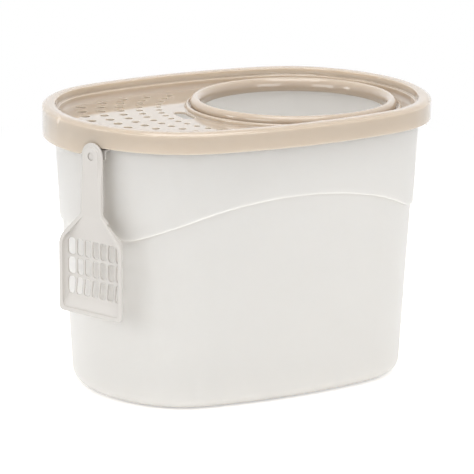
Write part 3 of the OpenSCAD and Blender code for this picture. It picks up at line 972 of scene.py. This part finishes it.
def studio_world(scene, fill):
    """Even light from all sides, which shows as plain white."""
    world = bpy.data.worlds.new("studio")
    scene.world = world
    world.use_nodes = True
    nodes, links = world.node_tree.nodes, world.node_tree.links
    lit = nodes["Background"]
    lit.inputs["Color"].default_value = (1, 1, 1, 1)
    lit.inputs["Strength"].default_value = fill
    white = nodes.new("ShaderNodeBackground")
    white.inputs["Color"].default_value = (1, 1, 1, 1)
    mix = seen_white(nodes, links, lit, white)
    links.new(mix.outputs[0], nodes["World Output"].inputs["Surface"])


def floor_paper():
    """Pale paper that shows the shadow close to the box, and plain white further out."""
    lift, fade_start, fade_end = 0.4, 0.6, 1.6
    material, nodes, links, shader, place = new_material("floor paper")
    shader.inputs["Base Color"].default_value = (0.93, 0.93, 0.93, 1)
    shader.inputs["Roughness"].default_value = 0.9
    glow = nodes.new("ShaderNodeEmission")
    glow.inputs["Strength"].default_value = lift
    near = nodes.new("ShaderNodeAddShader")
    links.new(shader.outputs[0], near.inputs[0])
    links.new(glow.outputs[0], near.inputs[1])
    length = nodes.new("ShaderNodeVectorMath")
    length.operation = "LENGTH"
    links.new(place.outputs["Object"], length.inputs[0])
    fade = nodes.new("ShaderNodeMapRange")
    fade.interpolation_type = "SMOOTHSTEP"
    fade.inputs["From Min"].default_value = fade_start
    fade.inputs["From Max"].default_value = fade_end
    links.new(length.outputs["Value"], fade.inputs["Value"])
    blank = nodes.new("ShaderNodeEmission")
    far = nodes.new("ShaderNodeMixShader")
    links.new(fade.outputs["Result"], far.inputs[0])
    links.new(near.outputs[0], far.inputs[1])
    links.new(blank.outputs[0], far.inputs[2])
    mix = seen_white(nodes, links, shader, far)
    output = next(n for n in nodes if n.type == "OUTPUT_MATERIAL")
    links.new(mix.outputs[0], output.inputs["Surface"])
    return material


def aimed_camera(scene, settings, target):
    """The camera at its turn and height round the target, with the photograph's framing."""
    back = toward(settings.azimuth, settings.elevation)
    camera_data = bpy.data.cameras.new("camera")
    camera = bpy.data.objects.new("camera", camera_data)
    scene.collection.objects.link(camera)
    camera.rotation_mode = "QUATERNION"
    camera.location = target + back * settings.distance
    roll = Matrix.Rotation(math.radians(settings.roll), 3, "Z").to_quaternion()
    camera.rotation_quaternion = (-back).to_track_quat("-Z", "Y") @ roll
    camera_data.sensor_width = 36
    camera_data.lens = settings.lens
    camera_data.shift_x = -0.0003
    camera_data.shift_y = -0.0037
    camera_data.clip_start, camera_data.clip_end = 0.1, 60
    scene.camera = camera


class LITTERBOX_OT_stage(bpy.types.Operator):
    """Lay the pale floor, and set the world, lamps and camera"""

    bl_idname = "litterbox.stage"
    bl_label = "Stage"

    def execute(self, context):
        scene = context.scene
        settings = scene.litterbox_stage
        scene.view_settings.view_transform = "Standard"
        studio_world(scene, settings.fill)

        deselect()
        bpy.ops.mesh.primitive_circle_add(vertices=96, radius=7, fill_type="NGON", location=(0, 0, 0))
        floor = context.object
        floor.name = "floor"
        floor.data.materials.append(floor_paper())

        # Each lamp's name, turn from the front, height angle, size and power
        half_height = 0.185
        target = Vector((MIDDLE_X, 0, half_height))
        lamp_distance = 3
        lamps = (
            ("left", -69, 17, (1.5, 1.2), 15),
            ("right", 3, 17, (1.5, 1.2), 15.5),
            ("rear", -104, 16, (0.5, 0.9), 6),
            ("top", -30, 80, (2.2, 2.2), 42),
        )
        for name, turn, rise, size, power in lamps:
            softbox(name, target + toward(turn, rise) * lamp_distance, target, size, power)
        aimed_camera(scene, settings, target)
        return {"FINISHED"}


class LITTERBOX_PT_panel(bpy.types.Panel):
    """The litter box's pieces and sizes"""

    bl_idname = "LITTERBOX_PT_panel"
    bl_label = "Litter Box"
    bl_space_type = "VIEW_3D"
    bl_region_type = "UI"
    bl_category = "Litter Box"

    def draw(self, context):
        layout = self.layout
        for operator in OPERATORS:
            layout.operator(operator.bl_idname)
        for group in GROUPS:
            settings = getattr(context.scene, group)
            box = layout.box()
            for key in settings.__annotations__:
                box.prop(settings, key)


GROUPS = {
    "litterbox_outline": OutlineSizes,
    "litterbox_lid": LidSizes,
    "litterbox_tub": TubSizes,
    "litterbox_finishes": Finishes,
    "litterbox_stage": StageSettings,
}
OPERATORS = (
    LITTERBOX_OT_tub,
    LITTERBOX_OT_lid,
    LITTERBOX_OT_scoop,
    LITTERBOX_OT_feet,
    LITTERBOX_OT_stage,
)


def register():
    for group in GROUPS.values():
        bpy.utils.register_class(group)
    for name, group in GROUPS.items():
        setattr(bpy.types.Scene, name, PointerProperty(type=group))
    for operator in OPERATORS:
        bpy.utils.register_class(operator)
    bpy.utils.register_class(LITTERBOX_PT_panel)


def unregister():
    bpy.utils.unregister_class(LITTERBOX_PT_panel)
    for operator in reversed(OPERATORS):
        bpy.utils.unregister_class(operator)
    for name in GROUPS:
        delattr(bpy.types.Scene, name)
    for group in reversed(list(GROUPS.values())):
        bpy.utils.unregister_class(group)


def main():
    register()
    bpy.ops.litterbox.tub()
    bpy.ops.litterbox.lid()
    bpy.ops.litterbox.scoop()
    bpy.ops.litterbox.feet()
    bpy.ops.litterbox.stage()


if __name__ == "__main__":
    main()
